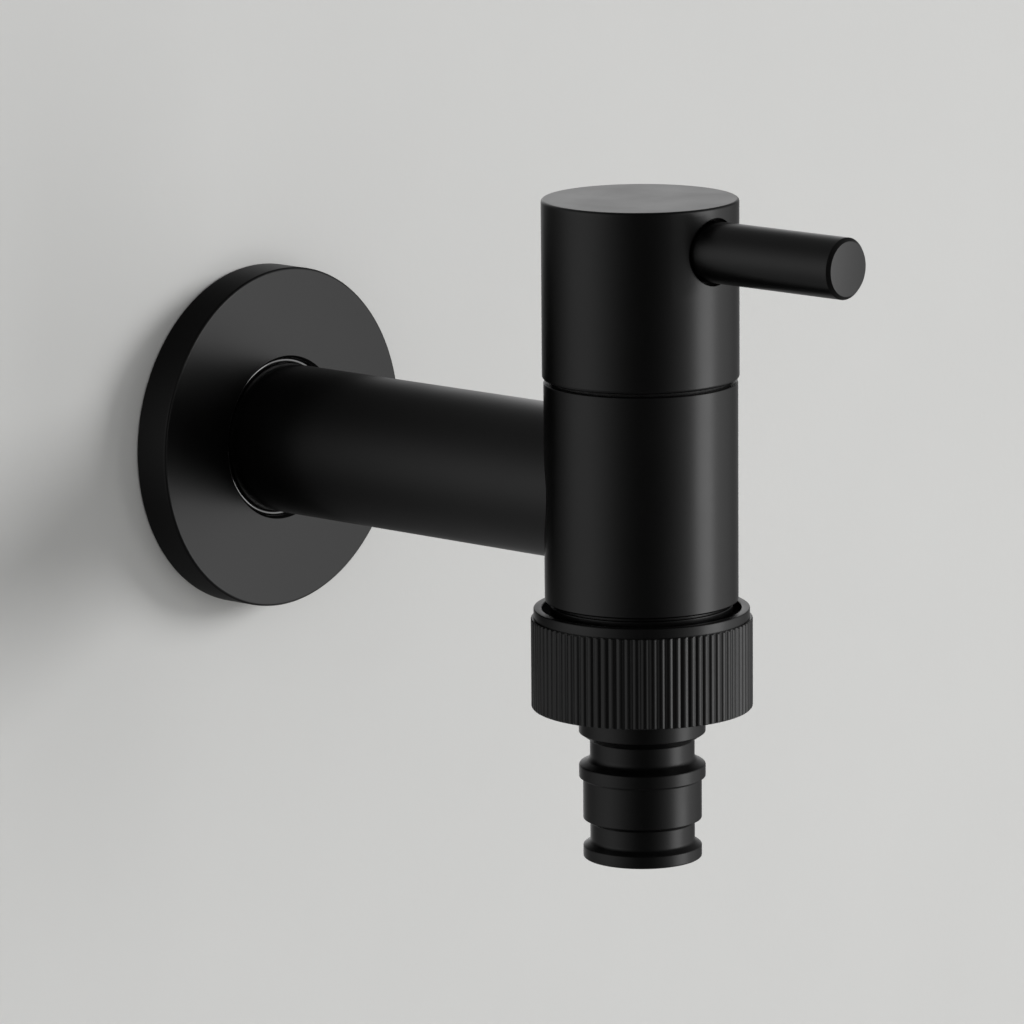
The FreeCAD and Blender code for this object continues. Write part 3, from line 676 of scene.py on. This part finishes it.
def nipple():
    """Nipple for a push-on connector, with the soft edges that its turning leaves."""
    bore, neck, nose, latch, flange = 5.75, 7.6, 8.625, 9.2, 12.0
    tip_top = TAIL_FOOT + 1.75
    groove_foot, groove_top = TAIL_FOOT + 2.45, TAIL_FOOT + 5.25
    nose_foot = TAIL_FOOT + 5.8
    latch_foot, latch_top = TAIL_FOOT + 11.95, TAIL_FOOT + 13.8
    neck_foot, neck_top = TAIL_FOOT + 14.6, TAIL_FOOT + 17.5
    collar_foot = TAIL_FOOT + 18.6
    flange_foot = NUT_FOOT + 2.45
    outline = rounded([
        (bore, TAIL_TOP, SOFT),
        (flange, TAIL_TOP, SOFT),
        (flange, flange_foot, SOFT),
        (latch, flange_foot, 0),
        (latch, collar_foot, EDGE),
        (neck, neck_top, 0.3),
        (neck, neck_foot, 1.0),
        (latch, latch_top, 0.35),
        (latch, latch_foot, CRISP),
        (nose, latch_foot, 0.4),
        (nose, nose_foot, EDGE),
        (neck, groove_top, 0.25),
        (neck, groove_foot, 0.6),
        (nose, tip_top, 0.25),
        (nose, TAIL_FOOT, 0.25),
        (bore, TAIL_FOOT, 0.3),
    ], steps=6)
    work = turned(outline, UPRIGHT, evenly(COLUMNS))
    piece_from("nipple_turned", work, "hose_tail", "nipple_black", "hose_nipple")


# The stage: a plain pale wall and floor, soft studio light


def plaster(name):
    """Pale plaster with faint clouds and grain."""
    shader = Shader(name, STAGE_COLOUR, 0.9)
    darker = [value * 0.985 for value in STAGE_COLOUR]
    shader.mottle(STAGE_COLOUR, darker, shader.noise(30, 4))
    shader.bump((shader.noise(600, 3), 200, 0.08))
    return shader


def wall_plaster():
    """Plaster that is clear from behind, so that the tap's back can be looked at, and clear in reflections, which
    see the studio through it, save for a patch of painted shade close round the tap: black there, for the tap's
    shadow on the wall."""
    shader = plaster("wall_plaster")
    clear = shader.node("BsdfTransparent").outputs["BSDF"]
    # painted shade: black in reflections close round the tap, standing for the tap's shadow on the wall
    dark = shader.node("BsdfDiffuse", {"Color": (0.0, 0.0, 0.0, 1.0)}).outputs["BSDF"]
    away = shader.node("VectorMath", {0: shader.place}, operation="LENGTH").outputs["Value"]
    open_share = shader.ranged(away, PAINTED_SHADE_OPEN, 1.0, PAINTED_SHADE_NEAR, PAINTED_SHADE_FAR)
    reflected = shader.node("MixShader", {"Fac": open_share, 1: dark, 2: clear}).outputs["Shader"]
    glossy = shader.node("LightPath").outputs["Is Glossy Ray"]
    pale = shader.surface.outputs["BSDF"]
    front = shader.node("MixShader", {"Fac": glossy, 1: pale, 2: reflected}).outputs["Shader"]
    behind = shader.node("NewGeometry").outputs["Backfacing"]
    both = shader.node("MixShader", {"Fac": behind, 1: front, 2: clear}).outputs["Shader"]
    shader.tree.links.new(both, shader.tree.nodes["Material Output"].inputs["Surface"])
    return shader


def sheet(name, corners, shader):
    """A flat stage sheet through four corners, whose face looks the way that they turn."""
    mesh = bpy.data.meshes.new(name)
    mesh.from_pydata(corners, [], [(0, 1, 2, 3)])
    mesh.materials.append(shader.material)
    made = bpy.data.objects.new(name, mesh)
    bpy.context.scene.collection.objects.link(made)
    return made


def wall():
    """Pale wall behind the tap."""
    corners = [
        (-STAGE_REACH, WALL_Y, FLOOR_Z),
        (STAGE_REACH, WALL_Y, FLOOR_Z),
        (STAGE_REACH, WALL_Y, WALL_TOP),
        (-STAGE_REACH, WALL_Y, WALL_TOP),
    ]
    sheet("wall", corners, wall_plaster())


def floor():
    """Pale floor far below the tap, which no reflection shows."""
    corners = [
        (-STAGE_REACH, -STAGE_REACH, FLOOR_Z),
        (STAGE_REACH, -STAGE_REACH, FLOOR_Z),
        (STAGE_REACH, STAGE_REACH, FLOOR_Z),
        (-STAGE_REACH, STAGE_REACH, FLOOR_Z),
    ]
    sheet("floor", corners, plaster("floor_plaster")).visible_glossy = False


def toward(azimuth, elevation):
    """The direction at an azimuth from straight out of the wall, towards +X, and an elevation."""
    azimuth, elevation = math.radians(azimuth), math.radians(elevation)
    out = math.cos(elevation)
    return Vector((math.sin(azimuth) * out, -math.cos(azimuth) * out, math.sin(elevation)))


def lamp(name, kind):
    """A new lamp and its light."""
    light = bpy.data.lights.new(name, kind)
    made = bpy.data.objects.new(name, light)
    bpy.context.scene.collection.objects.link(made)
    return made, light


def softbox():
    """A tall softbox with a given brightness of its face, which the camera doesn't see."""
    made, light = lamp("softbox", "AREA")
    width, height = SOFTBOX_SIZE
    light.shape = "RECTANGLE"
    light.size = width
    light.size_y = height
    light.energy = SOFTBOX_RADIANCE * math.pi * width * height
    facing = Vector(SOFTBOX_TARGET) - Vector(SOFTBOX_PLACE)
    made.location = SOFTBOX_PLACE
    made.rotation_euler = facing.to_track_quat("-Z", "Y").to_euler()
    made.visible_camera = False


def broad_light():
    """Even light for the stage from one side, which no reflection shows."""
    made, light = lamp("broad_light", "SUN")
    light.angle = BROAD_SPREAD
    light.energy = BROAD_STRENGTH
    made.rotation_euler = toward(BROAD_AZIMUTH, BROAD_ELEVATION).to_track_quat("Z", "Y").to_euler()
    made.visible_glossy = False


def studio():
    """A plain grey level for the stage, and in reflections a dark studio with soft panels of light."""
    made = bpy.data.worlds.new("studio")
    made.use_nodes = True
    nodes = Nodes(made.node_tree)
    direction = nodes.node("TexCoord").outputs["Generated"]
    total = STUDIO_DARK
    for azimuth, elevation, strength, sharpness in PANELS:
        inputs = {0: direction, 1: toward(azimuth, elevation)}
        facing = nodes.node("VectorMath", inputs, operation="DOT_PRODUCT").outputs["Value"]
        away = nodes.maths("SUBTRACT", facing, 1.0)
        falloff = nodes.maths("EXPONENT", nodes.maths("MULTIPLY", away, sharpness))
        total = nodes.maths("ADD", nodes.maths("MULTIPLY", falloff, strength), total)
    glossy = nodes.node("LightPath").outputs["Is Glossy Ray"]
    level = nodes.node("Mix", {0: glossy, 2: STAGE_LIGHT, 3: total}).outputs[0]
    back = made.node_tree.nodes["Background"]
    back.inputs["Color"].default_value = (1, 1, 1, 1)
    made.node_tree.links.new(level, back.inputs["Strength"])
    bpy.context.scene.world = made


def camera():
    """The photograph's viewpoint."""
    back = toward(VIEW_AZIMUTH, VIEW_ELEVATION)
    level = toward(VIEW_AZIMUTH + 90, 0)
    upward = back.cross(level)
    roll = math.radians(VIEW_ROLL)
    right = level * math.cos(roll) + upward * math.sin(roll)
    up = upward * math.cos(roll) - level * math.sin(roll)
    data = bpy.data.cameras.new("camera")
    data.sensor_width = SENSOR_WIDTH
    data.lens = FOCAL_PIXELS * SENSOR_WIDTH / IMAGE_PIXELS
    data.clip_start = 0.01
    made = bpy.data.objects.new("camera", data)
    place = VIEW_AIM + back * VIEW_DISTANCE + right * VIEW_ASIDE.x + up * VIEW_ASIDE.y
    turn = Matrix((right, up, back)).transposed().to_4x4()
    made.matrix_world = Matrix.Translation(place) @ turn
    bpy.context.scene.collection.objects.link(made)
    bpy.context.scene.camera = made


finish_inner_nodes()
rosette()
rosette_ring()
arm()
barrel()
cap()
lever()
nut()
nipple()
wall()
floor()
studio()
softbox()
broad_light()
camera()
bpy.context.scene.view_settings.view_transform = "Standard"
